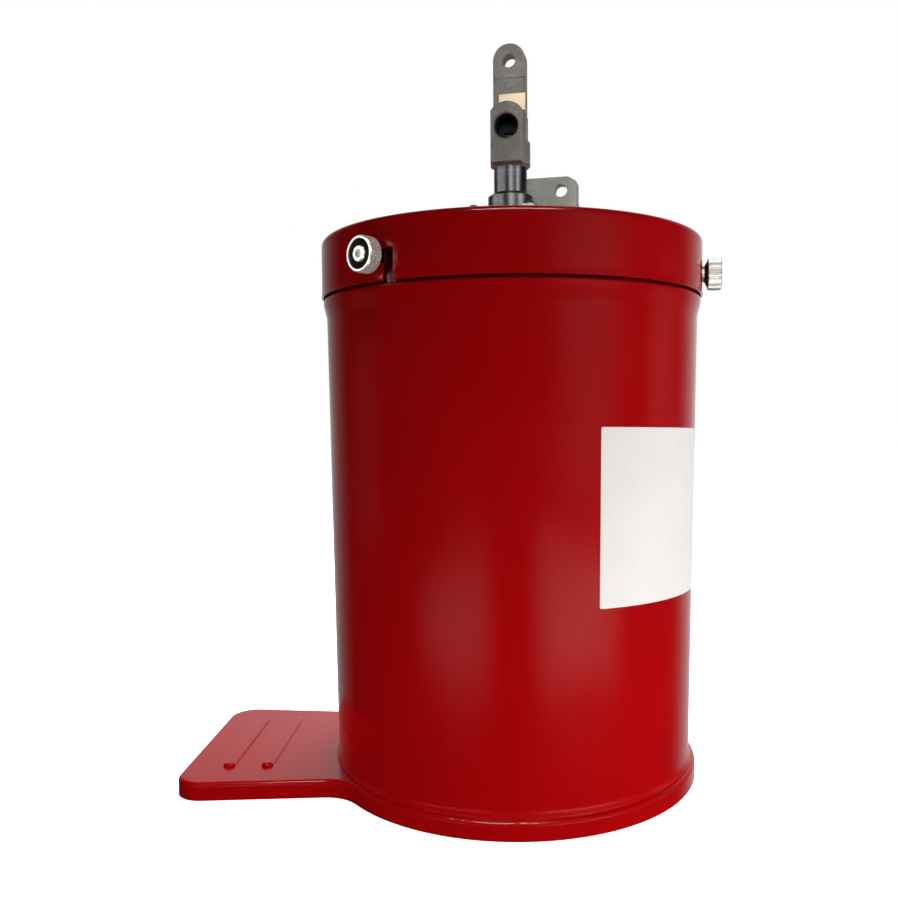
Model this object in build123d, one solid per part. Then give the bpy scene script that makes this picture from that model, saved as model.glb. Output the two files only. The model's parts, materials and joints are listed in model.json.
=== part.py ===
from build123d import *
import os
import math

# Lever-operated bucket pump: a red steel bucket on a pressed base tray with a
# foot plate, a bayonet lid held by three thumbscrews, and a hollow-plunger
# hand pump that stands on the lid. Millimetres, +Z up, origin on the bucket
# axis at the floor. The foot plate points to -X, the hose port to -Y.

# ---------------------------------------------------------------- dimensions
LID_R = 133.6          # lid skirt, outside
LID_TOP = 372.0        # top of the lid's rolled edge
SKIRT_BOTTOM = 332.7   # lower edge of the lid skirt
LID_T = 1.2            # lid sheet
PLATEAU_R = 67.0       # raised middle of the lid that carries the pump
PLATEAU_TOP = 383.5
WALL_T = 1.0           # bucket sheet
BODY_R_BOTTOM = 125.25  # bucket outside radius where it meets the tray
BODY_R_TOP = 130.3     # bucket outside radius under the shoulder
BODY_Z_TOP = 317.0
SHOULDER_R = 132.5
SHOULDER_Z = 329.2
RIM_R = 131.6          # bucket rim inside the lid skirt
RIM_TOP = 367.6
TRAY_R = 129.9
TRAY_TOP = 11.7
TRAY_T = 2.0
PLATE_X = -225.2       # outer end of the foot plate
PLATE_HALF = 76.6      # half width at the outer end
PLATE_HALF_IN = 68.8   # half width where it meets the ring
PLATE_X_IN = -119.0
PLATE_CORNER = 18.0
PLATE_TURN = 0.6       # the tray sits turned this much about Z
TRAY_FILLET = 2.8
SCREW_PHI = (-38.2, 81.8, -158.2)   # thumbscrew bearings, 0 = -Y, positive towards +X
SCREW_Z = 348.2
SCREW_R = 2.95         # M6 shank
SCREW_PITCH = 1.0
SLOT_LEFT = -1.4      # slot ends, degrees from the screw
SLOT_LEG_A = 3.0       # vertical leg, degrees from the screw
SLOT_LEG_B = 6.45
SLOT_Z0 = 343.4
SLOT_Z1 = 352.5
KNOB_R = 11.1
KNOB_T = 9.1
PUMP_TURN = -11.5      # the head and its bracket are turned this much about Z
PLUNGER_R = 11.75
PLUNGER_BORE = 6.5
PISTON_Z = 76.0         # lower end of the piston spigot
PLUNGER_BOTTOM = PISTON_Z + 40.0
PLUNGER_TOP = 440.0
BARREL_R = 22.0
BARREL_BORE = 20.0
BARREL_BOTTOM = 34.0
BARREL_TOP = 382.2
FLANGE_Z = 384.5
FLANGE_TOP = 391.0
FLANGE_R = 36.0
FLANGE_PCD = 58.0
FLANGE_PHI = 26.6      # bearing of the first flange bolt
GLAND_TOP = 409.0
GLAND_R = 16.0
HEAD_BOTTOM = 427.0
PORT_Z = 453.2
PORT_R = 8.25          # tapping size of an M18 x 1.5 thread
EYE_Z = 500.5
EYE_R = 4.75
ARM_HALF = 11.4
ARM_X = 0.6            # the arm stands a little off the plunger's axis
ARM_F = -8.0           # arm faces, front and back
ARM_B = 3.0
BOSS_F = -16.0
BOSS_HALF = 11.2
FULCRUM_X = 32.5
FULCRUM_Z = 416.0
LABEL_Z = 189.5
LABEL_H = 108.8
LABEL_PHI = 24.25       # bearing of its left edge
LABEL_SPAN = 116.0
LABEL_TILT = 1.6
LABEL_T = 0.25

os.makedirs("parts", exist_ok=True)
NODES = {}


def ring(r0, r1, z0, z1):
    s = Pos(0, 0, (z0 + z1) / 2) * Cylinder(r1, z1 - z0)
    if r0 > 0:
        s = s - Pos(0, 0, (z0 + z1) / 2) * Cylinder(r0, z1 - z0 + 2)
    return s


def turned(points, arc=360):
    """Turn a closed (r, z) outline about the Z axis."""
    face = make_face(Plane.XZ * Polyline(*points, close=True))
    return revolve(face, Axis.Z, arc)


def rod_y(r, x, z, y0, y1):
    """A round rod parallel to Y."""
    return Pos(x, (y0 + y1) / 2, z) * Rot(90, 0, 0) * Cylinder(r, y1 - y0)


def hexagon(across_flats, z0, z1, x=0.0, y=0.0, turn=0.0):
    face = Rot(0, 0, turn) * RegularPolygon(across_flats / math.sqrt(3), 6)
    return Pos(x, y, z0) * extrude(face, z1 - z0)


def pol(phi, r):
    a = math.radians(phi)
    return r * math.sin(a), -r * math.cos(a)


def solids(shape):
    return shape.solids()


def first(shape):
    s = sorted(solids(shape), key=lambda q: -q.volume)
    return s[0]


# ------------------------------------------------------------------- bucket
# A drawn, slightly tapered sheet bucket. Going up: a small rolled foot at the
# tray, the plain wall, an S-bend out to the shoulder under the lid, a step in
# and the rim with a curl at its top.
def smooth(t):
    return t * t * (3 - 2 * t)


outer = [(BODY_R_BOTTOM + 1.6, TRAY_TOP), (BODY_R_BOTTOM + 1.75, TRAY_TOP + 0.8),
         (BODY_R_BOTTOM + 1.4, TRAY_TOP + 1.7), (BODY_R_BOTTOM + 0.75, TRAY_TOP + 2.5),
         (BODY_R_BOTTOM + 0.3, TRAY_TOP + 3.6), (BODY_R_BOTTOM + 0.08, TRAY_TOP + 5.2),
         (BODY_R_TOP, BODY_Z_TOP)]
for i in range(1, 8):
    t = i / 7
    outer.append((BODY_R_TOP + (SHOULDER_R - BODY_R_TOP) * smooth(t), BODY_Z_TOP + (SHOULDER_Z - BODY_Z_TOP) * t))
outer += [(SHOULDER_R, SHOULDER_Z + 1.0), (SHOULDER_R - 0.3, SHOULDER_Z + 1.7),
          (RIM_R + 0.1, SHOULDER_Z + 2.2), (RIM_R, SHOULDER_Z + 2.6)]
curl_r = 3.2
cz, cr = RIM_TOP - curl_r, RIM_R - curl_r
outer.append((RIM_R, cz))
curl = [(cr + curl_r * math.cos(a), cz + curl_r * math.sin(a)) for a in [math.radians(d) for d in range(15, 271, 15)]]
inner = [(RIM_R - WALL_T, cz - curl_r - 0.2), (RIM_R - WALL_T, SHOULDER_Z + 2.2), (RIM_R - WALL_T + 0.1, SHOULDER_Z + 1.2),
         (SHOULDER_R - WALL_T, SHOULDER_Z - 0.3)]
for i in range(6, -1, -1):
    t = i / 7
    inner.append((BODY_R_TOP - WALL_T + (SHOULDER_R - BODY_R_TOP) * smooth(t), BODY_Z_TOP + (SHOULDER_Z - BODY_Z_TOP) * t - 0.3 * (t > 0)))
inner += [(BODY_R_BOTTOM - WALL_T + 0.08, TRAY_TOP + 5.2), (BODY_R_BOTTOM - WALL_T, TRAY_TOP)]
bucket = turned(outer + curl + inner)
# clearance holes for the thumbscrews
for phi in SCREW_PHI:
    bucket -= Rot(0, 0, phi) * rod_y(3.4, 0, SCREW_Z, -RIM_R - 6, -RIM_R + 16)
NODES["bucket_body"] = bucket


def wall_in(z):
    return BODY_R_BOTTOM - WALL_T + (BODY_R_TOP - BODY_R_BOTTOM) * (z - TRAY_TOP) / (BODY_Z_TOP - TRAY_TOP)


# dished bottom pressed into the bucket, its flange turned down
NODES["bucket_bottom"] = turned([(0, 18.0), (wall_in(13) - 4.0, 18.0), (wall_in(13) - 2.2, 17.2), (wall_in(13) - 1.3, 15.6), (wall_in(13) - 1.25, 12.6),
                                 (wall_in(13) - 0.1, 12.6), (wall_in(13) - 0.1, 16.4), (wall_in(13) - 1.6, 18.4), (wall_in(13) - 3.6, 19.2), (0, 19.2)])

# weld nuts inside the rim
nuts = []
for phi in SCREW_PHI:
    n = rod_y(7.0, 0, SCREW_Z, -RIM_R + 1.4, -RIM_R + 8.4) - rod_y(3.0, 0, SCREW_Z, -RIM_R - 2, -RIM_R + 18)
    nuts.append(Rot(0, 0, phi) * n)
NODES["rim_nuts"] = nuts

# ---------------------------------------------------------------- base tray
# One pressing: a ring under the bucket and a foot plate on one side, with a
# turned-down skirt all round and two ribs pressed up into the foot plate.
def tray_outline(grow):
    """Closed outline of the tray, moved in by -grow."""
    ring_face = make_face(Circle(TRAY_R + grow).edge())
    px, pi = PLATE_X - grow, PLATE_X_IN
    h, hi = PLATE_HALF + grow, PLATE_HALF_IN + grow
    slope = (h - hi) / (pi - px)
    xi = -60.0
    yi = h - slope * (xi - px)
    foot = make_face(Polyline((px, -h), (px, h), (xi, yi), (xi, -yi), close=True))
    corners = [v for v in foot.vertices() if v.X < px + 1]
    foot = fillet(corners, PLATE_CORNER + grow)
    both = ring_face + foot
    neck = [v for v in both.vertices() if abs(v.X) > 60 and abs(v.X) < 130 and abs(v.Y) > 40]
    return fillet(neck, 26.0 - grow)


outline = tray_outline(0)
tray = extrude(Pos(0, 0, 0) * outline, TRAY_TOP)
top_edges = [e for e in tray.edges() if e.bounding_box().min.Z > TRAY_TOP - 0.01]
tray = fillet(top_edges, TRAY_FILLET)
core = extrude(tray_outline(-TRAY_T), TRAY_TOP - TRAY_T)
core_top = [e for e in core.edges() if e.bounding_box().min.Z > TRAY_TOP - TRAY_T - 0.01]
core = fillet(core_top, 1.5)
tray = tray - Pos(0, 0, -0.0) * core
RIBS = ((-195.2, 99.0), (-169.2, 97.0))     # x and length of each pressed rib
RIB_W, RIB_H = 8.0, 2.6
for x, length in RIBS:
    bar = Pos(x, 0, TRAY_TOP - 1.0) * extrude(SlotOverall(length, RIB_W, rotation=90), 1.0 + RIB_H)
    edge = [e for e in bar.edges() if e.bounding_box().min.Z > TRAY_TOP + RIB_H - 0.01]
    tray += fillet(edge, 2.3)
for x, length in RIBS:
    tray -= Pos(x, 0, 0) * extrude(SlotOverall(length - 2 * TRAY_T, RIB_W - 2 * TRAY_T, rotation=90), TRAY_TOP + RIB_H - TRAY_T)
NODES["base_tray"] = Rot(0, 0, PLATE_TURN) * tray

# -------------------------------------------------------------------- label
def band(z0, z1, t0, t1):
    s = (BODY_R_TOP - BODY_R_BOTTOM) / (BODY_Z_TOP - TRAY_TOP)
    r = lambda z: BODY_R_BOTTOM + s * (z - TRAY_TOP)
    return [(r(z0) + t0, z0), (r(z0) + t1, z0), (r(z1) + t1, z1), (r(z1) + t0, z1)]


span0 = LABEL_PHI - 6
sticker = Rot(0, 0, span0 - 90) * turned(band(110, 268, 0.02, LABEL_T), LABEL_SPAN + 12)
mid = LABEL_PHI + LABEL_SPAN / 2
LABEL_R = 128.2        # bucket radius at the middle of the label
half_w = LABEL_R * math.sin(math.radians(LABEL_SPAN / 2))
cutter = Rot(0, 0, mid) * Pos(0, -LABEL_R, LABEL_Z - 2.4) * Rot(0, LABEL_TILT, 0) * Box(2 * half_w, 170, LABEL_H)
NODES["label_sticker"] = sticker & cutter

# ---------------------------------------------------------------------- lid
lo = [(LID_R + 0.35, SKIRT_BOTTOM), (LID_R + 0.35, SKIRT_BOTTOM + 1.4), (LID_R, SKIRT_BOTTOM + 2.6)]
cr2 = 4.2
lo.append((LID_R, LID_TOP - cr2))
lo += [(LID_R - cr2 + cr2 * math.cos(math.radians(d)), LID_TOP - cr2 + cr2 * math.sin(math.radians(d))) for d in (15, 30, 45, 60, 75, 90)]
lo += [(LID_R - 11.0, LID_TOP), (LID_R - 12.8, LID_TOP - 0.7), (LID_R - 14.4, LID_TOP - 2.2), (LID_R - 16.2, LID_TOP - 3.0), (PLATEAU_R + 21, LID_TOP - 3.0), (PLATEAU_R + 17, LID_TOP - 2.2),
       (PLATEAU_R + 5, PLATEAU_TOP - 1.6), (PLATEAU_R + 2.4, PLATEAU_TOP - 0.4), (PLATEAU_R, PLATEAU_TOP), (20.4, PLATEAU_TOP)]
li = [(20.4, PLATEAU_TOP - LID_T), (PLATEAU_R - 0.2, PLATEAU_TOP - LID_T), (PLATEAU_R + 1.9, PLATEAU_TOP - LID_T - 0.4), (PLATEAU_R + 4.3, PLATEAU_TOP - LID_T - 1.6),
      (PLATEAU_R + 16.3, LID_TOP - 2.2 - LID_T), (PLATEAU_R + 20.7, LID_TOP - 3.0 - LID_T), (LID_R - 15.8, LID_TOP - 3.0 - LID_T), (LID_R - 13.6, LID_TOP - 2.2 - LID_T),
      (LID_R - 12.0, LID_TOP - 0.7 - LID_T), (LID_R - 10.7, LID_TOP - LID_T)]
cr3 = cr2 - LID_T
li += [(LID_R - cr2 + cr3 * math.cos(math.radians(d)), LID_TOP - cr2 + cr3 * math.sin(math.radians(d))) for d in (90, 75, 60, 45, 30, 15)]
li += [(LID_R - LID_T, LID_TOP - cr2), (LID_R - LID_T, SKIRT_BOTTOM + 2.6), (LID_R - LID_T + 0.15, SKIRT_BOTTOM + 1.4), (LID_R - LID_T + 0.15, SKIRT_BOTTOM)]
lid = turned(lo + li)


def sector(phi0, phi1, z0, z1):
    """A block that spans the skirt between two bearings and two heights."""
    p = [pol(phi0, LID_R - 10), pol(phi0, LID_R + 8), pol((phi0 + phi1) / 2, LID_R + 8.6), pol(phi1, LID_R + 8), pol(phi1, LID_R - 10)]
    return Pos(0, 0, z0) * extrude(make_face(Polyline(*p, close=True)), z1 - z0)


for phi in SCREW_PHI:
    leg = sector(phi + SLOT_LEG_A, phi + SLOT_LEG_B, SKIRT_BOTTOM - 2, SLOT_Z1)
    run = sector(phi + SLOT_LEFT, phi + SLOT_LEG_B, SLOT_Z0, SLOT_Z1)
    lid = lid - leg - run
FLANGE_HOLES = [pol(FLANGE_PHI + k * 90, FLANGE_PCD / 2) for k in range(4)]
for x, y in FLANGE_HOLES:
    lid -= Pos(x, y, PLATEAU_TOP) * Cylinder(3.3, 10)
NODES["lid"] = lid
NODES["lid_gasket"] = ring(RIM_R - 7.4, RIM_R - 2.3, RIM_TOP + 0.15, LID_TOP - LID_T - 0.03)

# --------------------------------------------------------- pump, fixed parts
# cast mounting flange with a hub through the lid and an upright lug behind
def flange_outline(grow):
    wing = Pos(25, 30.65) * Rectangle(42 + 2 * grow, 25.3 + 2 * grow)
    wing = fillet([v for v in wing.vertices() if v.Y > 40], 5.0)
    both = make_face(Circle(FLANGE_R + grow).edge()) + wing
    return Rot(0, 0, PUMP_TURN) * both


foot_plate = Pos(0, 0, FLANGE_Z) * extrude(flange_outline(0), FLANGE_TOP - FLANGE_Z)
rim_e = [e for e in foot_plate.edges() if e.bounding_box().min.Z > FLANGE_TOP - 0.01]
foot_plate = fillet(rim_e, 1.2)
hub = ring(0, 19.9, 366.0, FLANGE_Z) + foot_plate
LUG_TOP = 409.5
LUG = Pos(24.5, 38.8, (FLANGE_TOP - 3 + LUG_TOP) / 2) * Box(39, 9, LUG_TOP - FLANGE_TOP + 3)
lug_e = [e for e in LUG.edges() if e.bounding_box().min.Z > LUG_TOP - 0.01]
LUG = fillet(lug_e, 1.8)
hub += Rot(0, 0, PUMP_TURN) * Pos(0, 0, 0) * LUG
hub -= ring(0, 14.0, 372.0, FLANGE_TOP + 1)
hub -= ring(0, 11.85, 360.0, 373.0)
for x, y in FLANGE_HOLES:
    hub -= Pos(x, y, FLANGE_TOP) * Cylinder(3.3, 20)
BR_SCREWS = ((10.6, 398.6), (36.0, 398.2))
for x, z in BR_SCREWS:
    hub -= Rot(0, 0, PUMP_TURN) * rod_y(3.0, x, z, 30, 48)
NODES["pump_flange"] = hub
g = Pos(0, 0, PLATEAU_TOP) * extrude(flange_outline(-0.6), FLANGE_Z - PLATEAU_TOP) - ring(0, 20.6, PLATEAU_TOP - 2, FLANGE_Z + 2)
for x, y in FLANGE_HOLES:
    g -= Pos(x, y, FLANGE_Z) * Cylinder(3.3, 6)
NODES["flange_gasket"] = g
bolts, washers, fnuts = [], [], []
for k, (x, y) in enumerate(FLANGE_HOLES):
    z = FLANGE_TOP + 2.0
    head = hexagon(10, z, z + 5.6, x, y, 10 + 35 * k) & (Pos(x, y, z + 2.8) * Cylinder(5.6, 5.6))
    cone = Pos(x, y, z + 2.6) * Cone(8.6, 2.6, 6.0)
    bolts.append(first((head & cone) + Pos(x, y, z - 9.5) * Cylinder(2.95, 19.0)))
    washers.append(Pos(x, y, 0) * ring(3.2, 6.2, FLANGE_TOP, FLANGE_TOP + 2.0))
    n = hexagon(10, PLATEAU_TOP - LID_T - 5.0, PLATEAU_TOP - LID_T, x, y, 20 + 25 * k) - Pos(x, y, 380) * Cylinder(3.0, 20)
    fnuts.append(n)
NODES["flange_bolts"] = bolts
NODES["flange_washers"] = washers
NODES["flange_nuts"] = fnuts

# gland nut: a chamfered collar with a threaded spigot that squeezes the packing
NODES["gland_nut"] = turned([(11.83, 380.0), (13.9, 380.0), (13.9, FLANGE_TOP), (GLAND_R, FLANGE_TOP), (GLAND_R, GLAND_TOP - 2.4),
                             (GLAND_R - 0.5, GLAND_TOP - 2.0), (12.7, GLAND_TOP), (12.2, GLAND_TOP), (11.83, GLAND_TOP - 0.4)])
NODES["gland_packing"] = [ring(11.81, 13.95, 372.0 + 2.6 * k, 374.5 + 2.6 * k) for k in range(3)]
barrel = ring(BARREL_BORE, BARREL_R, BARREL_BOTTOM, BARREL_TOP)
barrel -= Pos(0, 0, 57.0) * Rot(0, 90, 0) * Cylinder(2.05, 60)
barrel -= Pos(0, 0, 356.0) * Rot(0, 90, 0) * Cylinder(2.0, 60)      # vent above the piston
NODES["pump_barrel"] = barrel
NODES["ball_stop_pin"] = Pos(0, 0, 57.0) * Rot(0, 90, 0) * Cylinder(2.0, 44.0)
foot = turned([(7.0, 28.5), (20.0, 28.5), (20.0, 22.5), (24.5, 22.5), (25.0, 23.2), (25.0, 45.4), (24.4, 46.0), (22.05, 46.0), (22.05, BARREL_BOTTOM), (7.0, BARREL_BOTTOM)])
NODES["foot_valve_body"] = foot
NODES["inlet_ball"] = Pos(0, 0, BARREL_BOTTOM + math.sqrt(100 - 49)) * Sphere(10.0)
screen = ring(0, 19.9, 26.9, 28.3)
hole_pts = [(0, 0)] + [(6 * math.cos(a), 6 * math.sin(a)) for a in [k * math.pi / 3 for k in range(6)]]
hole_pts += [(12 * math.cos(a), 12 * math.sin(a)) for a in [k * math.pi / 6 for k in range(12)]]
hole_pts += [(16.6 * math.cos(a), 16.6 * math.sin(a)) for a in [(k + 0.5) * math.pi / 8 for k in range(16)]]
screen -= [Pos(x, y, 27.6) * Cylinder(1.7, 4) for x, y in hole_pts]
NODES["inlet_strainer"] = screen
snap = ring(17.6, 19.95, 25.3, 26.8) - Pos(0, -18, 26) * Box(8, 8, 4)
NODES["strainer_ring"] = snap

# fulcrum bracket: a two-step plate that stands beside the plunger
BR_TOP = 426.0


def br_plate(y0, y1, x1):
    pts = [(5.0, 391.3), (x1, 391.3), (x1, BR_TOP), (5.0, BR_TOP - 0.0)]
    f = make_face(Plane.XZ * Polyline(*pts, close=True))
    c = [v for v in f.vertices() if abs(v.Z - BR_TOP) < 0.01]
    f = fillet([v for v in c if v.X > 20], 7.0)
    f = fillet([v for v in f.vertices() if abs(v.Z - BR_TOP) < 0.01 and v.X < 6], 4.0)
    return Pos(0, y1, 0) * extrude(f, y1 - y0)


plate = br_plate(24.3, 30.3, 43.2) + br_plate(30.3, 34.3, 44.6)
edge = [e for e in plate.edges() if e.bounding_box().max.Y < 24.31]
plate = fillet(edge, 0.9)
plate -= rod_y(EYE_R, FULCRUM_X, FULCRUM_Z, 10, 45)
for x, z in BR_SCREWS:
    plate -= rod_y(3.3, x, z, 10, 45)
NODES["fulcrum_bracket"] = Rot(0, 0, PUMP_TURN) * plate
scr, wsh = [], []
for x, z in BR_SCREWS:
    h = rod_y(5.0, x, z, 16.9, 22.9)
    h = chamfer([e for e in h.edges() if e.bounding_box().max.Y < 16.91], 0.6)
    h -= Pos(x, 16.9, z) * Rot(90, 0, 0) * Pos(0, 0, -3.0) * extrude(RegularPolygon(5 / math.sqrt(3), 6), 4.0)
    h += rod_y(2.95, x, z, 22.9, 42.9)
    scr.append(Rot(0, 0, PUMP_TURN) * h)
    wsh.append(Rot(0, 0, PUMP_TURN) * (rod_y(6.1, x, z, 22.9, 24.3) - rod_y(3.2, x, z, 18, 28)))
NODES["bracket_screws"] = scr
NODES["bracket_washers"] = wsh

# -------------------------------------------------------- pump, moving parts
NODES["plunger_tube"] = ring(PLUNGER_BORE, PLUNGER_R, PLUNGER_BOTTOM, PLUNGER_TOP)
# forged head, in its own frame with the port towards -Y
LOW_TOP = 446.0
BOSS_BOTTOM = 428.2
ARM_Z = 501.1          # centre of the arm's round top
STEP_Z = 488.5
low = ring(0, 14.2, HEAD_BOTTOM, LOW_TOP)
low = chamfer([e for e in low.edges() if e.bounding_box().max.Z < HEAD_BOTTOM + 0.01], 1.6, 2.4)
low = fillet([e for e in low.edges() if e.bounding_box().min.Z > LOW_TOP - 0.01], 2.0)
apex, side = 470.3, 464.3
bz = apex - ((BOSS_HALF ** 2 + (apex - side) ** 2) / (2 * (apex - side)))
br = apex - bz
front = make_face([Plane.XZ * Polyline((-BOSS_HALF, side), (-BOSS_HALF, BOSS_BOTTOM), (BOSS_HALF, BOSS_BOTTOM), (BOSS_HALF, side)),
                   Plane.XZ * ThreePointArc((-BOSS_HALF, side), (0, apex), (BOSS_HALF, side))])
boss = Pos(0, 9.0, 0) * extrude(front, 9.0 - BOSS_F)
boss = fillet([e for e in boss.edges() if e.bounding_box().max.Y < BOSS_F + 0.01], 1.1)
armf = make_face([Plane.XZ * Polyline((-ARM_HALF, ARM_Z), (-ARM_HALF, 442.0), (ARM_HALF, 442.0), (ARM_HALF, ARM_Z)),
                  Plane.XZ * ThreePointArc((-ARM_HALF, ARM_Z), (0, ARM_Z + ARM_HALF), (ARM_HALF, ARM_Z))])
arm = Pos(ARM_X, ARM_B, 0) * extrude(armf, ARM_B - ARM_F)
arm = fillet([e for e in arm.edges() if abs(e.bounding_box().max.Y - e.bounding_box().min.Y) < 0.01], 0.9)
# the lower part of the arm's front stands half a millimetre back from the eye
arm -= Pos(0, ARM_F, (440 + STEP_Z) / 2) * Box(30, 1.0, STEP_Z - 440)
arm -= Pos(3.4, ARM_F + 0.4, 471.8) * Box(20.0, 1.6, 12.0)           # milled spot above the boss
head = low + boss + arm
head -= rod_y(EYE_R, ARM_X, EYE_Z, -20, 20)
head -= ring(0, 11.8, HEAD_BOTTOM - 1, PLUNGER_TOP)                   # socket for the plunger
head -= ring(0, 5.0, PLUNGER_TOP - 1, PORT_Z)
head -= rod_y(PORT_R, 0, PORT_Z, BOSS_F - 2, 1.0)
head -= Pos(0, BOSS_F + 0.75 - 0.0, PORT_Z) * Rot(90, 0, 0) * Cone(PORT_R, 9.4, 1.5)
for x, z, y in ((ARM_X, 483.2, ARM_F + 0.5), (0, 433.5, BOSS_F)):
    head -= Pos(x, y, z) * Rot(90, 0, 0) * (Cylinder(3.3, 0.7) - Cylinder(2.5, 0.8))
NODES["pump_head"] = Rot(0, 0, PUMP_TURN) * first(head)

P = PISTON_Z
NODES["piston_body"] = turned([(5.0, P), (10.9, P), (10.9, P + 12), (19.4, P + 12), (19.4, P + 23), (16.0, P + 26), (16.0, P + 52), (15.0, P + 53),
                               (11.8, P + 53), (11.8, PLUNGER_BOTTOM), (9.0, PLUNGER_BOTTOM), (9.0, P + 16), (5.0, P + 16)])
NODES["piston_cup"] = turned([(11.0, P + 9.2), (18.3, P + 9.2), (18.3, P + 4.6), (19.9, P + 4.0), (19.93, P + 11.0), (19.0, P + 11.9), (11.0, P + 11.9)])
NODES["cup_washer"] = ring(11.0, 16.8, P + 7.4, P + 9.1)
NODES["piston_nut"] = hexagon(27, P + 1.6, P + 7.3) - ring(0, 10.95, P - 2, P + 10)
NODES["discharge_ball"] = Pos(0, 0, P + 16 + math.sqrt(49 - 25)) * Sphere(7.0)
NODES["spring_seat"] = ring(3.6, 8.9, P + 38.2, P + 39.8)
helix = Helix(pitch=2.35, height=10.4, radius=5.1, center=(0, 0, P + 27.2))
NODES["discharge_spring"] = sweep(Plane(origin=helix @ 0, z_dir=helix % 0) * Circle(0.45), path=helix)

# --------------------------------------------------------------- thumbscrews
for k, phi in enumerate(SCREW_PHI, 1):
    turn = Rot(0, 0, phi)
    u0 = LID_R + 0.2
    w = rod_y(5.5, 0, SCREW_Z, -(u0 + 1.0), -u0) - rod_y(3.03, 0, SCREW_Z, -155, -115)
    NODES[f"thumbscrew_{k}_washer"] = turn * w
    # tapered spacer between washer and knob
    c0, c1 = u0 + 1.05, u0 + 3.4
    spacer = Pos(0, -(c0 + c1) / 2, SCREW_Z) * Rot(90, 0, 0) * Cone(5.0, 9.4, c1 - c0)
    spacer -= rod_y(3.0, 0, SCREW_Z, -155, -115)
    NODES[f"thumbscrew_{k}_spacer"] = turn * spacer
    # knurled knob: a ring of fine teeth round a cup
    k0, k1 = c1, c1 + KNOB_T
    pts = []
    teeth = 60
    for i in range(teeth):
        a0 = 2 * math.pi * i / teeth
        for j, rr in ((0.0, KNOB_R - 0.5), (0.5, KNOB_R)):
            a = a0 + j * 2 * math.pi / teeth
            pts.append((rr * math.cos(a), rr * math.sin(a)))
    kn = extrude(make_face(Polyline(*pts, close=True)), KNOB_T)
    kn &= Pos(0, 0, KNOB_T / 2) * chamfer(Cylinder(KNOB_R + 0.1, KNOB_T).edges(), 0.9)
    kn -= Pos(0, 0, KNOB_T) * Cylinder(9.3, 10.4)                     # 5.2 deep recess
    kn -= Cylinder(3.0, 30)
    NODES[f"thumbscrew_{k}_knob"] = turn * Pos(0, -k0, SCREW_Z) * Rot(90, 0, 0) * kn
    f0 = k0 + KNOB_T - 5.2
    ins = rod_y(9.25, 0, SCREW_Z, -(f0 + 4.4), -f0) - rod_y(5.15, 0, SCREW_Z, -155, -115)
    NODES[f"thumbscrew_{k}_insert"] = turn * ins
    cap = rod_y(5.0, 0, SCREW_Z, -(f0 + 5.6), -f0)
    cap = chamfer([e for e in cap.edges() if e.bounding_box().min.Y < -(f0 + 5.59)], 0.7)
    cap -= Pos(0, -(f0 + 5.6), SCREW_Z) * Rot(90, 0, 0) * Pos(0, 0, -3.0) * extrude(RegularPolygon(5 / math.sqrt(3), 6), 4.0)
    cap += rod_y(SCREW_R, 0, SCREW_Z, -f0, -LID_R + 13.5)
    NODES[f"thumbscrew_{k}_screw"] = turn * cap

# ------------------------------------------------------------------- export
for name, shape in NODES.items():
    if isinstance(shape, (list, tuple)):
        items = []
        for s in shape:
            items += list(s.solids())
        shape = Compound(children=items)
    elif len(shape.solids()) == 1:
        shape = shape.solids()[0]
    export_step(shape, f"parts/{name}.step")
print(len(NODES), "nodes")
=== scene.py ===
import json
import math
import bpy
import bmesh
from mathutils import Matrix, Vector, noise


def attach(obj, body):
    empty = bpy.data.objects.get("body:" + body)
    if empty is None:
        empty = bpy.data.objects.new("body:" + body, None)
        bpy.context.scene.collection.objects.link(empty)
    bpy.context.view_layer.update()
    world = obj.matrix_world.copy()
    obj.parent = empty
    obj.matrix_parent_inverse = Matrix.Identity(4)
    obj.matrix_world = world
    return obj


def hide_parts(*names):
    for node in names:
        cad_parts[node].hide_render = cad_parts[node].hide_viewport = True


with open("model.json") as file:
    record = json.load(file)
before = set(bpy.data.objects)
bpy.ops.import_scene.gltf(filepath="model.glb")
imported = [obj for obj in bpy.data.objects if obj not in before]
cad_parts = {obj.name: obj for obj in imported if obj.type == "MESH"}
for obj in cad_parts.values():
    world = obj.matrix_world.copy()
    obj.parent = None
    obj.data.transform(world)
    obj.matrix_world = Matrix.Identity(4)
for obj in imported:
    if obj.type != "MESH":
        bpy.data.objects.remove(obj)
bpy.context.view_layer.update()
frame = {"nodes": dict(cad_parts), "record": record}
scene = bpy.context.scene


# ------------------------------------------------------------------ camera
def camera():
    th, ps, ro = 0.0410, 0.0316, -0.0053
    fwd = Vector((-math.sin(ps) * math.cos(th), math.cos(ps) * math.cos(th), -math.sin(th)))
    right0 = Vector((math.cos(ps), math.sin(ps), 0.0))
    up0 = right0.cross(fwd)
    right = math.cos(ro) * right0 + math.sin(ro) * up0
    up = -math.sin(ro) * right0 + math.cos(ro) * up0
    data = bpy.data.cameras.new("camera")
    data.sensor_fit = "HORIZONTAL"
    data.sensor_width = 36.0
    data.lens = 36.0
    data.shift_x = -33.14 / 900.0
    data.clip_start, data.clip_end = 0.02, 60.0
    obj = bpy.data.objects.new("camera", data)
    scene.collection.objects.link(obj)
    m = Matrix((right, up, -fwd)).transposed().to_4x4()
    m.translation = Vector((0.0, -0.65103, 0.25308))
    obj.matrix_world = m
    scene.camera = obj


camera()
scene.view_settings.view_transform = "Standard"
scene.view_settings.look = "None"
scene.view_settings.exposure = 0.0
scene.view_settings.gamma = 1.0


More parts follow.
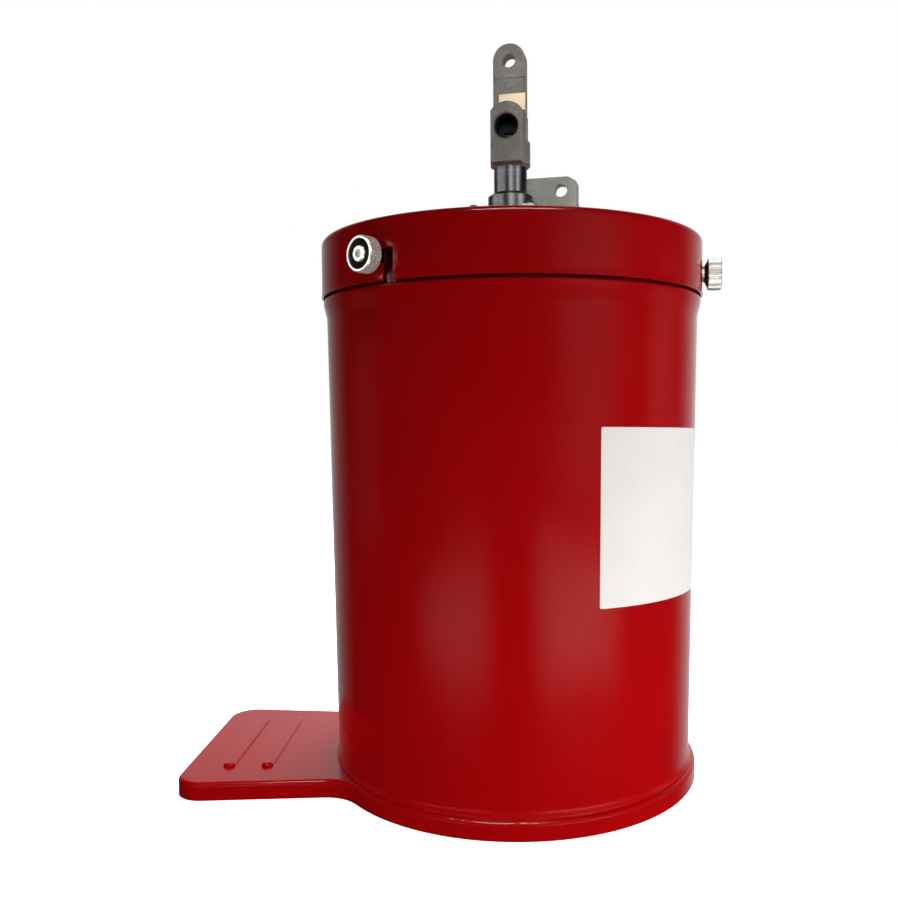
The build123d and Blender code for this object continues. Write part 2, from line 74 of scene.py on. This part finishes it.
# --------------------------------------------------------------- materials
class Mat:
    """A small helper for node materials: every material is procedural."""

    def __init__(self, name):
        self.m = bpy.data.materials.new(name)
        self.m.use_nodes = True
        self.t = self.m.node_tree
        self.b = self.t.nodes["Principled BSDF"]
        self.co = self.t.nodes.new("ShaderNodeTexCoord").outputs["Object"]

    def n(self, kind, **values):
        node = self.t.nodes.new(kind)
        for k, v in values.items():
            if k in node.inputs:
                node.inputs[k].default_value = v
            else:
                setattr(node, k, v)
        return node

    def link(self, a, b):
        self.t.links.new(a, b)
        return b

    def noise(self, scale, detail=4.0, rough=0.55, stretch=(1, 1, 1), distortion=0.0):
        mp = self.n("ShaderNodeMapping")
        mp.inputs["Scale"].default_value = stretch
        self.link(self.co, mp.inputs["Vector"])
        t = self.n("ShaderNodeTexNoise", Scale=scale, Detail=detail, Roughness=rough, Distortion=distortion)
        self.link(mp.outputs[0], t.inputs["Vector"])
        return t.outputs["Fac"]

    def ramp(self, fac, *stops):
        r = self.n("ShaderNodeValToRGB")
        els = r.color_ramp.elements
        while len(els) < len(stops):
            els.new(0.5)
        for e, (p, c) in zip(els, stops):
            e.position = p
            e.color = c if len(c) == 4 else (*c, 1.0)
        self.link(fac, r.inputs["Fac"])
        return r.outputs["Color"]

    def grey(self, fac, *stops):
        return self.ramp(fac, *[(p, (v, v, v, 1.0)) for p, v in stops])

    def mix(self, fac, a, b, mode="MIX"):
        x = self.n("ShaderNodeMix", data_type="RGBA", blend_type=mode)
        for sock, v in ((x.inputs[0], fac), (x.inputs[6], a), (x.inputs[7], b)):
            if hasattr(v, "is_output"):
                self.link(v, sock)
            else:
                sock.default_value = v
        return x.outputs[2]

    def bump(self, *layers):
        last = None
        for fac, strength, distance in layers:
            b = self.n("ShaderNodeBump", Strength=strength, Distance=distance)
            self.link(fac, b.inputs["Height"])
            if last is not None:
                self.link(last, b.inputs["Normal"])
            last = b.outputs["Normal"]
        self.link(last, self.b.inputs["Normal"])

    def set(self, **values):
        for k, v in values.items():
            self.b.inputs[k.replace("_", " ")].default_value = v
        return self

    def color(self, out):
        self.link(out, self.b.inputs["Base Color"])

    def rough(self, out):
        self.link(out, self.b.inputs["Roughness"])


def red_paint(name="red_enamel", under_lid=False):
    m = Mat(name)
    big = m.noise(7.0, 3.0, 0.5)
    fine = m.noise(900.0, 2.0, 0.5)
    c = m.ramp(big, (0.3, (0.325, 0.0008, 0.0018)), (0.7, (0.355, 0.0012, 0.0026)))
    dust = m.grey(m.noise(2600.0, 1.0, 0.4), (0.74, 0.0), (0.80, 1.0))
    sparse = m.grey(m.noise(34.0, 2.0, 0.5), (0.52, 0.0), (0.72, 0.35))
    spots = m.n("ShaderNodeMath", operation="MULTIPLY")
    m.link(dust, spots.inputs[0]); m.link(sparse, spots.inputs[1])
    c = m.mix(spots.outputs[0], c, (0.50, 0.20, 0.18, 1.0))
    if under_lid:                                        # painted shade: the rim above the shoulder, in the gap under the lid, is painted near black where shade falls
        sep = m.n("ShaderNodeSeparateXYZ")
        m.link(m.co, sep.inputs[0])
        painted_rim_shade = m.n("ShaderNodeMapRange")
        painted_rim_shade.inputs["From Min"].default_value, painted_rim_shade.inputs["From Max"].default_value = 0.3306, 0.3318
        m.link(sep.outputs["Z"], painted_rim_shade.inputs["Value"])
        c = m.mix(painted_rim_shade.outputs["Result"], c, (0.028, 0.0006, 0.0010, 1.0))
    m.color(c)
    m.rough(m.grey(m.noise(18.0, 5.0, 0.6), (0.3, 0.16), (0.7, 0.24)))
    peel = m.noise(320.0, 2.0, 0.4)
    wave = m.noise(16.0, 2.0, 0.4)
    m.bump((wave, 0.25, 0.0012), (peel, 0.10, 0.0004), (fine, 0.03, 0.0002))
    m.set(Coat_Weight=0.35, Coat_Roughness=0.05, Coat_IOR=1.5, IOR=1.5, Specular_IOR_Level=0.5)
    return m.m


def forged():
    m = Mat("forged_black")
    a = m.noise(240.0, 6.0, 0.65)
    b = m.noise(1500.0, 4.0, 0.6)
    c = m.noise(60.0, 4.0, 0.6)
    base = m.ramp(c, (0.3, (0.135, 0.128, 0.110)), (0.55, (0.185, 0.176, 0.154)), (0.75, (0.235, 0.225, 0.200)))
    grains = m.ramp(b, (0.35, (0.55, 0.55, 0.55)), (0.65, (1.15, 1.15, 1.15)))
    skin = m.mix(1.0, base, grains, "MULTIPLY")
    # where on the head: its own axes, turned 11.5 degrees about Z
    mp = m.n("ShaderNodeMapping")
    mp.inputs["Rotation"].default_value = (0.0, 0.0, math.radians(11.5))
    m.link(m.co, mp.inputs["Vector"])
    sep = m.n("ShaderNodeSeparateXYZ")
    m.link(mp.outputs[0], sep.inputs[0])

    def math2(op, a, b, c=None):
        k = m.n("ShaderNodeMath", operation=op)
        for sock, v in zip(k.inputs, (a, b, c)):
            if v is None:
                continue
            if hasattr(v, "is_output"):
                m.link(v, sock)
            else:
                sock.default_value = v
        return k.outputs[0]

    x, y, z = sep.outputs
    # painted highlight: a cream patch on the head's front stands in for the machined flat's bright reflection of the
    # backdrop
    painted_highlight_patch = math2("MULTIPLY", math2("COMPARE", z, 0.4718, 0.0062), math2("COMPARE", y, -0.0068, 0.0004))
    # painted shade: a near-black disc on the port stands in for the shade inside its bore
    dz = math2("SUBTRACT", z, 0.4532)
    near = math2("LESS_THAN", math2("ADD", math2("MULTIPLY", x, x), math2("MULTIPLY", dz, dz)), 0.0086 ** 2)
    painted_bore_shade = math2("MULTIPLY", near, math2("COMPARE", y, -0.0065, 0.0085))
    skin = m.mix(painted_highlight_patch, skin, (0.95, 0.76, 0.50, 1.0))
    skin = m.mix(painted_bore_shade, skin, (0.012, 0.013, 0.014, 1.0))
    m.color(skin)
    m.rough(m.grey(a, (0.3, 0.42), (0.7, 0.62)))
    m.set(Metallic=0.25)
    m.bump((c, 0.3, 0.0008), (a, 0.45, 0.0004), (b, 0.35, 0.00015))
    return m.m


def turned(name, dark, light, rough0, rough1, metallic=1.0, stretch=(1, 1, 60)):
    m = Mat(name)
    rings = m.noise(26.0, 5.0, 0.7, stretch=stretch)
    blot = m.noise(42.0, 4.0, 0.6)
    c = m.ramp(rings, (0.3, dark), (0.7, light))
    stain = m.ramp(blot, (0.35, (0.72, 0.70, 0.70)), (0.65, (1.05, 1.05, 1.05)))
    m.color(m.mix(1.0, c, stain, "MULTIPLY"))
    m.rough(m.grey(blot, (0.3, rough0), (0.7, rough1)))
    m.set(Metallic=metallic)
    m.bump((rings, 0.25, 0.00012), (m.noise(1200.0, 3.0, 0.6), 0.12, 0.0001))
    return m.m


def plain_metal(name, dark, light, rough0, rough1, bump=0.2, metallic=1.0):
    m = Mat(name)
    f = m.noise(700.0, 5.0, 0.65)
    b = m.noise(70.0, 4.0, 0.6)
    c = m.ramp(b, (0.3, dark), (0.7, light))
    m.color(m.mix(1.0, c, m.ramp(f, (0.3, (0.86, 0.86, 0.86)), (0.7, (1.06, 1.06, 1.06))), "MULTIPLY"))
    m.rough(m.grey(b, (0.3, rough0), (0.7, rough1)))
    m.set(Metallic=metallic)
    m.bump((f, bump, 0.0002))
    return m.m


def soft(name, dark, light, rough0, rough1, scale=900.0):
    m = Mat(name)
    f = m.noise(scale, 4.0, 0.6)
    m.color(m.ramp(m.noise(60.0, 4.0, 0.6), (0.3, dark), (0.7, light)))
    m.rough(m.grey(f, (0.3, rough0), (0.7, rough1)))
    m.bump((f, 0.3, 0.0002))
    return m.m


def vinyl():
    m = Mat("blank_label")
    m.color(m.ramp(m.noise(26.0, 4.0, 0.6), (0.3, (0.735, 0.700, 0.672)), (0.7, (0.770, 0.735, 0.706))))
    m.rough(m.grey(m.noise(150.0, 3.0, 0.5), (0.3, 0.38), (0.7, 0.52)))
    m.bump((m.noise(34.0, 2.0, 0.5), 0.12, 0.0010), (m.noise(1600.0, 2.0, 0.5), 0.05, 0.0001))
    m.set(Coat_Weight=0.15, Coat_Roughness=0.25)
    return m.m


MATS = {
    "red_paint": red_paint(),
    "forged_head": forged(),
    "turned_steel": turned("turned_steel", (0.085, 0.082, 0.084), (0.18, 0.18, 0.185), 0.26, 0.40),
    "zinc_steel": plain_metal("bright_nickel", (0.62, 0.60, 0.55), (0.80, 0.78, 0.73), 0.26, 0.40, 0.12, 0.75),
    "black_plastic": soft("black_moulding", (0.010, 0.010, 0.010), (0.020, 0.020, 0.021), 0.35, 0.55),
    "rubber_seal": soft("seal_rubber", (0.018, 0.018, 0.018), (0.035, 0.034, 0.033), 0.55, 0.75),
    "label_vinyl": vinyl(),
    "brass": turned("turned_brass", (0.55, 0.37, 0.15), (0.78, 0.56, 0.27), 0.20, 0.36),
    "bracket_steel": plain_metal("bracket_plate", (0.24, 0.25, 0.22), (0.34, 0.35, 0.31), 0.38, 0.55, 0.35, 0.3),
    "spring_steel": plain_metal("ground_steel", (0.50, 0.50, 0.50), (0.66, 0.66, 0.66), 0.15, 0.28, 0.1),
    "galvanised_steel": plain_metal("plated_steel", (0.34, 0.34, 0.33), (0.50, 0.50, 0.49), 0.26, 0.42, 0.25),
    "packing": soft("packing_fibre", (0.16, 0.10, 0.05), (0.30, 0.20, 0.11), 0.6, 0.8),
}
slot_of = {s["node"]: s["material_slot"] for s in frame["record"]["subparts"]}
for name, obj in frame["nodes"].items():
    mat = MATS[slot_of[name]]
    obj.data.materials.clear()
    obj.data.materials.append(mat)


# ------------------------------------------------------------ sheet pieces
MM = 0.001
SCREW_PHI = (-38.2, 81.8, -158.2)
LR = 133.6                     # lid radius, mm


def columns(extra, count=360, near=0.35):
    """Bearings of the lathe's columns in degrees: an even set plus the ones that edges need."""
    base = [i * 360.0 / count for i in range(count)]
    extra = sorted(e % 360.0 for e in extra)
    keep = [b for b in base if all(min(abs(b - e), 360 - abs(b - e)) > near for e in extra)]
    return sorted(keep + extra)


def in_arc(a, lo, hi):
    a, lo, hi = a % 360.0, lo % 360.0, hi % 360.0
    return (lo <= a <= hi) if lo <= hi else (a >= lo or a <= hi)


def lathe(name, profile, cols, cut=None, walls=(), wobble=None, flat=0.6):
    """A closed (r, z) outline in mm turned about Z. cut(segment, bearing) leaves a face out; walls closes a cut
    between row i on one side of the sheet and row partner(i) on the other."""
    bm = bmesh.new()
    n, m = len(profile), len(cols)
    grid = []
    for r, z in profile:
        row = []
        for a in cols:
            q = math.radians(a)
            rr = r + (wobble(r, z, a) if wobble else 0.0)
            row.append(bm.verts.new((rr * math.sin(q) * MM, -rr * math.cos(q) * MM, z * MM)))
        grid.append(row)
    mids = [(cols[j] + (((cols[(j + 1) % m] - cols[j]) % 360.0) / 2)) % 360.0 for j in range(m)]
    gone = set()
    for i in range(n):
        k = (i + 1) % n
        for j in range(m):
            if cut and cut(i, mids[j]):
                gone.add((i, j))
                continue
            bm.faces.new((grid[i][j], grid[i][(j + 1) % m], grid[k][(j + 1) % m], grid[k][j]))
    if cut:
        count, partner = walls
        for i in range(count):
            for j in range(m):
                here = (i, j) in gone
                if here != ((i, (j - 1) % m) in gone) and i < count - 1:
                    bm.faces.new((grid[i][j], grid[i + 1][j], grid[partner(i + 1)][j], grid[partner(i)][j]))
                below = (i - 1, j) in gone if i > 0 else None
                if below is not None and here != below:
                    bm.faces.new((grid[i][j], grid[i][(j + 1) % m], grid[partner(i)][(j + 1) % m], grid[partner(i)][j]))
    loose = [v for v in bm.verts if not v.link_faces]
    bmesh.ops.delete(bm, geom=loose, context="VERTS")
    bmesh.ops.recalc_face_normals(bm, faces=bm.faces)
    for f in bm.faces:
        f.smooth = True
    for e in bm.edges:
        if len(e.link_faces) == 2 and e.calc_face_angle(0.0) > flat:
            e.smooth = False
    me = bpy.data.meshes.new(name)
    bm.to_mesh(me)
    bm.free()
    obj = bpy.data.objects.new(name, me)
    scene.collection.objects.link(obj)
    return obj


def arc(cr, cz, r, a0, a1, n):
    return [(cr + r * math.cos(math.radians(a0 + (a1 - a0) * i / n)), cz + r * math.sin(math.radians(a0 + (a1 - a0) * i / n))) for i in range(n + 1)]


def spread(p, q, n):
    return [(p[0] + (q[0] - p[0]) * i / n, p[1] + (q[1] - p[1]) * i / n) for i in range(1, n + 1)]


def lid_shell():
    zs = [332.7, 333.0, 333.7, 334.5, 335.4, 336.6, 338.5, 341.0, 343.4, 345.5, 348.0, 350.2, 352.5, 355.0, 358.5, 362.0, 365.0, 367.8]
    t = 1.2

    def flare(z):
        f = max(0.0, min(1.0, (z - 332.7) / 3.9))
        return 0.35 * (1 - f * f * (3 - 2 * f))

    outer = [(LR + flare(z) - (0.28 if z < 332.8 else 0.0), z) for z in zs]
    inner = [(LR - t + flare(z) * 0.5 + (0.2 if z < 332.8 else 0.0), z) for z in zs]
    top = arc(LR - 4.2, 367.8, 4.2, 7.5, 90, 11)
    top += spread((LR - 4.2, 372.0), (LR - 10.8, 372.0), 3)
    roll = [(122.0, 371.85), (121.2, 371.4), (120.4, 370.7), (119.6, 369.9), (118.8, 369.35), (117.9, 369.05), (117.0, 369.0)]
    top += roll
    top += spread((117.0, 369.0), (89.5, 369.0), 4)
    top += [(87.5, 369.1), (85.6, 369.6), (83.8, 370.6), (79.0, 374.8), (75.0, 378.4), (72.2, 380.9), (70.4, 382.2), (68.6, 383.1), (66.6, 383.5)]
    top += spread((66.6, 383.5), (20.4, 383.5), 5)
    under = [(r, z) for r, z in reversed(top)]
    out = []
    for r, z in under:                                  # the underside, one sheet thickness in
        if r > LR - 4.2:
            k = math.atan2(z - 367.8, r - LR + 4.2)
            out.append((LR - 4.2 + 3.0 * math.cos(k), 367.8 + 3.0 * math.sin(k)))
        else:
            out.append((r, z - t))
    profile = outer + top + out + list(reversed(inner))
    n, k = len(profile), len(zs)
    slots = []
    for phi in SCREW_PHI:
        slots.append((phi + 3.0, phi + 6.45, 332.7, 352.5))
        slots.append((phi - 1.4, phi + 6.45, 343.4, 352.5))

    def z_mid(i):
        if i < k - 1:
            return (zs[i] + zs[i + 1]) / 2
        j = n - 1 - i                                    # matching segment on the inner side
        if i == n - 1:
            return 332.7001
        if 0 < j <= k - 1:
            return (zs[j - 1] + zs[j]) / 2
        return None

    def cut(i, a):
        z = z_mid(i)
        return z is not None and any(in_arc(a, lo, hi) and z0 < z < z1 for lo, hi, z0, z1 in slots)

    edges = [e for lo, hi, _, _ in slots for e in (lo, hi)]
    soft_dents = lambda r, z, a: 0.05 * noise.noise(Vector((math.sin(math.radians(a)) * 3, math.cos(math.radians(a)) * 3, z * 0.03))) if r > 100 else 0.0
    obj = lathe("lid_shell", profile, columns(edges), cut, (k, lambda i: n - 1 - i), soft_dents)
    bev = obj.modifiers.new("edge", "BEVEL")
    bev.width, bev.segments, bev.limit_method, bev.angle_limit = 0.00022, 2, "ANGLE", math.radians(55)
    obj.data.materials.append(MATS["red_paint"])
    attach(obj, "lid_assembly")
    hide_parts("lid")
    return obj


def bucket_shell():
    rb, rt, zt, zb = 125.25, 130.3, 317.0, 11.7
    sm = lambda t: t * t * (3 - 2 * t)
    out = [(rb + 1.6, zb), (rb + 1.75, 12.0), (rb + 1.75, 12.6), (rb + 1.5, 13.2), (rb + 1.1, 13.8), (rb + 0.7, 14.4), (rb + 0.4, 15.2), (rb + 0.2, 16.2), (rb + 0.12, 17.6)]
    out += spread((rb + 0.12, 17.6), (rt, zt), 60)
    out += [(rt + 2.2 * sm(i / 16), zt + 12.2 * i / 16) for i in range(1, 17)]
    out += [(132.5, 330.0), (132.4, 330.5), (132.1, 331.0), (131.8, 331.4), (131.62, 331.9)]
    out += spread((131.6, 332.6), (131.6, 364.4), 8)
    out += arc(128.4, 364.4, 3.2, 12, 270, 16)
    out += [(130.5, 361.0), (130.6, 345.0), (130.6, 332.0), (131.0, 330.8), (131.5, 329.4)]
    out += [(rt - 1.0 + 2.2 * sm(i / 16), zt - 0.3 + 12.2 * i / 16) for i in range(15, 0, -1)]
    out += spread((rt - 1.0, zt), (rb - 0.95, 17.0), 12) + [(rb - 1.0, 13.0), (rb - 1.0, zb)]

    def wob(r, z, a):
        if not 20 < z < 330:
            return 0.0
        q = math.radians(a)
        e = min(1.0, (z - 20) / 40, (330 - z) / 20)
        v = Vector((math.sin(q) * 1.6, math.cos(q) * 1.6, z * 0.006))
        return e * 0.16 * noise.noise(v)

    obj = lathe("bucket_shell", out, columns([]), wobble=wob)
    for k, phi in enumerate(SCREW_PHI):                  # clearance holes for the screws
        bm = bmesh.new()
        bmesh.ops.create_cone(bm, cap_ends=True, segments=40, radius1=3.4 * MM, radius2=3.4 * MM, depth=30 * MM)
        bmesh.ops.transform(bm, matrix=Matrix.Rotation(math.radians(phi), 4, "Z") @ Matrix.Translation((0, -0.1296, 0.3482)) @ Matrix.Rotation(math.pi / 2, 4, "X"), verts=bm.verts)
        me = bpy.data.meshes.new("drill")
        bm.to_mesh(me)
        bm.free()
        tool = bpy.data.objects.new("drill", me)
        scene.collection.objects.link(tool)
        mod = obj.modifiers.new("hole", "BOOLEAN")
        mod.operation, mod.solver, mod.object = "DIFFERENCE", "EXACT", tool
        bpy.context.view_layer.update()
        done = bpy.data.meshes.new_from_object(obj.evaluated_get(bpy.context.evaluated_depsgraph_get()))
        obj.modifiers.clear()
        old = obj.data
        obj.data = done
        bpy.data.meshes.remove(old)
        bpy.data.objects.remove(tool)
    obj.data.name = "bucket_shell"
    obj.data.materials.clear()
    obj.data.materials.append(red_paint("red_enamel_shell", True))
    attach(obj, "bucket")
    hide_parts("bucket_body")
    return obj


def label():
    """The blank sticker: a thin curved sheet with rounded corners, a little proud of the shell."""
    slope = (130.3 - 125.25) / (317.0 - 11.7)
    mid, rad, tilt = 24.25 + 58.0, 128.2, math.radians(1.6)
    nu, nv = 160, 72
    w = 2 * rad * math.radians(58.0)
    h = 108.8
    corner = 0.8
    bm = bmesh.new()
    rows = ([], [])
    for side, off in ((0, 0.24), (1, 0.03)):
        for j in range(nv + 1):
            row = []
            for i in range(nu + 1):
                u, v = (i / nu - 0.5) * w, (j / nv - 0.5) * h
                # pull the corners round
                cu, cv = w / 2 - corner, h / 2 - corner
                if abs(u) > cu and abs(v) > cv:
                    du, dv = abs(u) - cu, abs(v) - cv
                    k = max(du, dv) / (math.hypot(du, dv) or 1.0)
                    u, v = math.copysign(cu + du * k, u), math.copysign(cv + dv * k, v)
                a = math.radians(mid) + u / rad
                z = 187.1 + v - math.sin(u / rad) * rad * math.tan(tilt)
                r = 125.25 + slope * (z - 11.7) + off
                if side == 0:
                    edge = min(w / 2 - abs(u), h / 2 - abs(v))
                    r += 0.05 * noise.noise(Vector((u * 0.05, v * 0.05, 3.1))) + 0.06 * max(0.0, 1 - edge / 2.0)
                row.append(bm.verts.new((r * math.sin(a) * MM, -r * math.cos(a) * MM, z * MM)))
            rows[side].append(row)
    for side in (0, 1):
        g = rows[side]
        for j in range(nv):
            for i in range(nu):
                bm.faces.new((g[j][i], g[j][i + 1], g[j + 1][i + 1], g[j + 1][i]))
    a, b = rows
    rim = [(0, i) for i in range(nu)] + [(j, nu) for j in range(nv)] + [(nv, i) for i in range(nu, 0, -1)] + [(j, 0) for j in range(nv, 0, -1)]
    for k in range(len(rim)):
        (j0, i0), (j1, i1) = rim[k], rim[(k + 1) % len(rim)]
        bm.faces.new((a[j0][i0], a[j1][i1], b[j1][i1], b[j0][i0]))
    bmesh.ops.recalc_face_normals(bm, faces=bm.faces)
    for f in bm.faces:
        f.smooth = True
    for e in bm.edges:
        if len(e.link_faces) == 2 and e.calc_face_angle(0.0) > 0.9:
            e.smooth = False
    me = bpy.data.meshes.new("blank_sticker")
    bm.to_mesh(me)
    bm.free()
    obj = bpy.data.objects.new("blank_sticker", me)
    scene.collection.objects.link(obj)
    me.materials.append(MATS["label_vinyl"])
    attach(obj, "bucket")
    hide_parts("label_sticker")


lid_shell()
bucket_shell()
label()


# -------------------------------------------------------------- floor, light
def stage():
    bm = bmesh.new()
    bmesh.ops.create_grid(bm, x_segments=2, y_segments=2, size=6.0)
    me = bpy.data.meshes.new("floor")
    bm.to_mesh(me); bm.free()
    obj = bpy.data.objects.new("floor", me)
    scene.collection.objects.link(obj)
    m = Mat("pale_floor")
    m.color(m.ramp(m.noise(3.0, 2.0, 0.5), (0.3, (0.90, 0.90, 0.90)), (0.7, (0.93, 0.93, 0.93))))
    m.set(Roughness=0.6, Specular_IOR_Level=0.1, Emission_Color=(1, 1, 1, 1), Emission_Strength=1.02)
    me.materials.append(m.m)
    obj.visible_glossy = False
    obj.visible_diffuse = False


stage()


def area(name, loc, target, size, power, color=(1, 1, 1)):
    d = bpy.data.lights.new(name, "AREA")
    d.shape = "RECTANGLE"
    d.size, d.size_y = size
    d.energy = power
    d.color = color
    o = bpy.data.objects.new(name, d)
    scene.collection.objects.link(o)
    o.location = loc
    o.rotation_euler = (Vector(target) - Vector(loc)).to_track_quat("-Z", "Y").to_euler()
    return o


def studio():
    """White backdrop for the picture; for reflections and soft light a bright rear half and a dim front."""
    world = bpy.data.worlds.new("studio")
    scene.world = world
    world.use_nodes = True
    t = world.node_tree
    bg = t.nodes["Background"]
    co = t.nodes.new("ShaderNodeTexCoord")
    sep = t.nodes.new("ShaderNodeSeparateXYZ")
    t.links.new(co.outputs["Generated"], sep.inputs[0])
    side = t.nodes.new("ShaderNodeValToRGB")
    els = side.color_ramp.elements
    stops = ((0.0, 0.006), (0.74, 0.015), (0.80, 0.12), (0.92, 0.52), (1.0, 1.0))
    while len(els) < len(stops):
        els.new(0.5)
    for e, (p, v) in zip(els, stops):
        e.position, e.color = p, (v, v, v, 1.0)
    half = t.nodes.new("ShaderNodeMath")
    half.operation = "MULTIPLY_ADD"
    half.inputs[1].default_value, half.inputs[2].default_value = 0.5, 0.5
    t.links.new(sep.outputs["Y"], half.inputs[0])
    t.links.new(half.outputs[0], side.inputs["Fac"])
    across = t.nodes.new("ShaderNodeMapRange")            # the left of the room is dimmer
    across.inputs["From Min"].default_value, across.inputs["From Max"].default_value = -0.7, 0.5
    across.inputs["To Min"].default_value, across.inputs["To Max"].default_value = 0.45, 1.0
    t.links.new(sep.outputs["X"], across.inputs["Value"])
    both = t.nodes.new("ShaderNodeMix")
    both.data_type, both.blend_type = "RGBA", "MULTIPLY"
    both.inputs[0].default_value = 1.0
    t.links.new(side.outputs["Color"], both.inputs[6])
    t.links.new(across.outputs["Result"], both.inputs[7])
    t.links.new(both.outputs[2], bg.inputs["Color"])
    bg.inputs["Strength"].default_value = 1.0
    plain = t.nodes.new("ShaderNodeBackground")
    plain.inputs["Color"].default_value = (1, 1, 1, 1)
    plain.inputs["Strength"].default_value = 1.0
    path = t.nodes.new("ShaderNodeLightPath")
    mix = t.nodes.new("ShaderNodeMixShader")
    t.links.new(path.outputs["Is Camera Ray"], mix.inputs[0])
    t.links.new(bg.outputs[0], mix.inputs[1])
    t.links.new(plain.outputs[0], mix.inputs[2])
    t.links.new(mix.outputs[0], t.nodes["World Output"].inputs["Surface"])


studio()


def soft_light(name, loc, target, size, power, glossy=False):
    o = area(name, loc, target, size, power)
    o.visible_glossy = glossy
    return o


metals = bpy.data.collections.new("metal_parts")
for name, obj in frame["nodes"].items():
    if slot_of[name] not in ("red_paint", "label_vinyl", "rubber_seal", "black_plastic", "packing"):
        metals.objects.link(obj)


def card(name, loc, target, size, power, color=(1, 1, 1)):
    """A light card that only the bare metal sees, so the enamel keeps its even tone."""
    o = area(name, loc, target, size, power, color)
    o.light_linking.receiver_collection = metals
    return o


soft_light("key_right", (0.9, -0.9, 0.35), (0, 0, 0.20), (0.8, 0.7), 3.2)
soft_light("fill_left", (-1.1, -0.8, 0.30), (0, 0, 0.18), (0.8, 0.6), 0.15)
soft_light("low_right", (0.30, -0.42, 0.03), (0.05, -0.12, 0.07), (0.4, 0.08), 1.5)
soft_light("low_left", (-0.24, -0.42, 0.03), (-0.04, -0.12, 0.07), (0.3, 0.08), 0.75)
soft_light("rim_right", (1.1, 0.15, 0.22), (0, 0, 0.15), (0.5, 0.5), 8.5)
soft_light("rim_left", (-1.1, 0.1, 0.18), (0, 0, 0.12), (0.5, 0.4), 2.6)
soft_light("top_back", (0.0, 0.9, 1.5), (0, 0, 0.3), (1.0, 0.6), 38)
card("metal_front", (0.05, -1.2, 0.75), (0, 0, 0.42), (0.35, 0.5), 2.2, (0.90, 0.97, 1.0))
card("metal_right", (0.9, -0.7, 0.6), (0, 0, 0.42), (0.4, 0.6), 4)
card("metal_left", (-0.9, -0.8, 0.5), (0, 0, 0.40), (0.4, 0.5), 2.5)
card("metal_side", (-1.0, -0.15, 0.50), (-0.09, -0.11, 0.35), (0.7, 0.6), 3.2)
card("knob_front", (0.1, -0.9, 0.62), (-0.09, -0.11, 0.35), (0.5, 0.3), 1.1)
card("knob_under", (-0.05, -0.5, 0.05), (-0.09, -0.11, 0.35), (0.5, 0.1), 1.0)
area("edge_strip", (0.05, -0.75, 1.5), (0, 0, 0.3), (0.9, 0.09), 6.0)
